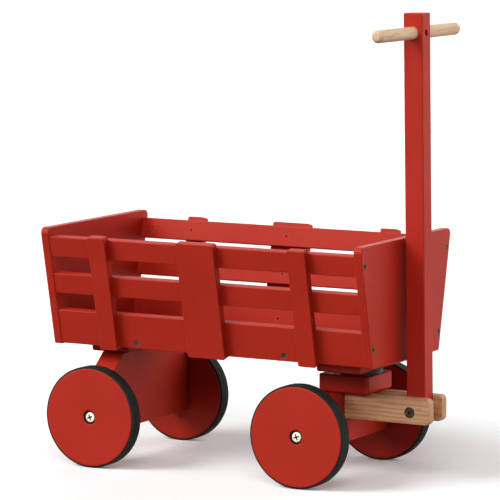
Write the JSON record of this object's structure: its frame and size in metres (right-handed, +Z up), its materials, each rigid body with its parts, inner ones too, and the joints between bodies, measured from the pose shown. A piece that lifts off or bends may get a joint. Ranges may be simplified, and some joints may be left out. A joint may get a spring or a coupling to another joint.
{
  "type": "toy pull wagon",
  "caption": "Slatted toy wagon with flared sides, rubber-tyred wheels, a swivelling front axle and an upright pull shaft with a cross grip.",
  "frame": {"origin": "on the floor, under the middle of the overall length and width, wheels down and pointing straight ahead", "axes": "+X forward towards the pull handle, +Y to the wagon's left, +Z up"},
  "size_m": [0.484, 0.2566, 0.5619],
  "materials": {
    "red_wood": "warm red satin paint over solid wood",
    "bare_wood": "clear-oiled light timber",
    "tyre": "matt black rubber",
    "zinc": "bright zinc-plated steel",
    "black_plastic": "moulded black plastic"
  },
  "bodies": {
    "tub": {"floor_board": "red_wood", "rear_end_board": "red_wood", "front_end_board": "red_wood", "left_bottom_board": "red_wood", "left_middle_slat": "red_wood", "left_top_slat": "red_wood", "left_rear_batten": "red_wood", "left_middle_batten": "red_wood", "left_front_batten": "red_wood", "right_bottom_board": "red_wood", "right_middle_slat": "red_wood", "right_top_slat": "red_wood", "right_rear_batten": "red_wood", "right_middle_batten": "red_wood", "right_front_batten": "red_wood", "rear_cross_plate": "red_wood", "front_cross_plate": "red_wood", "rear_axle_beam": "red_wood", "swivel_disc": "black_plastic", "swivel_bolt": "zinc", "swivel_nut": "zinc", "left_rear_axle_screw": "zinc", "left_rear_wheel_spacer": "black_plastic", "right_rear_axle_screw": "zinc", "right_rear_wheel_spacer": "black_plastic", "left_batten_screws": "zinc", "right_batten_screws": "zinc", "left_barrel_nuts": "zinc", "right_barrel_nuts": "zinc", "rear_end_bolts": "zinc", "front_end_bolts": "zinc", "floor_screws": "zinc", "plate_screws": "zinc", "rear_beam_screws": "zinc"},
    "steering_bogie": {"front_axle_beam": "red_wood", "swivel_block": "red_wood", "left_pull_arm": "bare_wood", "right_pull_arm": "bare_wood", "handle_bolt": "zinc", "handle_nut": "zinc", "arm_screws": "zinc", "block_screws": "zinc", "left_front_axle_screw": "zinc", "right_front_axle_screw": "zinc", "left_front_wheel_spacer": "black_plastic", "right_front_wheel_spacer": "black_plastic"},
    "pull_handle": {"pull_shaft": "red_wood", "grip_dowel": "bare_wood", "grip_screw": "zinc"},
    "left_rear_wheel": {"left_rear_wheel_disc": "red_wood", "left_rear_tyre": "tyre"},
    "left_front_wheel": {"left_front_wheel_disc": "red_wood", "left_front_tyre": "tyre"},
    "right_rear_wheel": {"right_rear_wheel_disc": "red_wood", "right_rear_tyre": "tyre"},
    "right_front_wheel": {"right_front_wheel_disc": "red_wood", "right_front_tyre": "tyre"}
  },
  "joints": [
    {"name": "steering_swivel", "type": "hinge", "parent": "tub", "child": "steering_bogie", "pos_m": [0.139, 0, 0.1155], "axis": [0, 0, 1], "range_deg": [-10, 10]},
    {"name": "handle_pivot", "type": "hinge", "parent": "steering_bogie", "child": "pull_handle", "pos_m": [0.2155, 0, 0.0863], "axis": [0, 1, 0], "range_deg": [0, 95]},
    {"name": "left_rear_wheel_spin", "type": "hinge", "parent": "tub", "child": "left_rear_wheel", "pos_m": [-0.174, 0.1096, 0.0625], "axis": [0, 1, 0], "continuous": true},
    {"name": "right_rear_wheel_spin", "type": "hinge", "parent": "tub", "child": "right_rear_wheel", "pos_m": [-0.174, -0.1096, 0.0625], "axis": [0, 1, 0], "continuous": true},
    {"name": "left_front_wheel_spin", "type": "hinge", "parent": "steering_bogie", "child": "left_front_wheel", "pos_m": [0.113, 0.1096, 0.0625], "axis": [0, 1, 0], "continuous": true},
    {"name": "right_front_wheel_spin", "type": "hinge", "parent": "steering_bogie", "child": "right_front_wheel", "pos_m": [0.113, -0.1096, 0.0625], "axis": [0, 1, 0], "continuous": true}
  ]
}
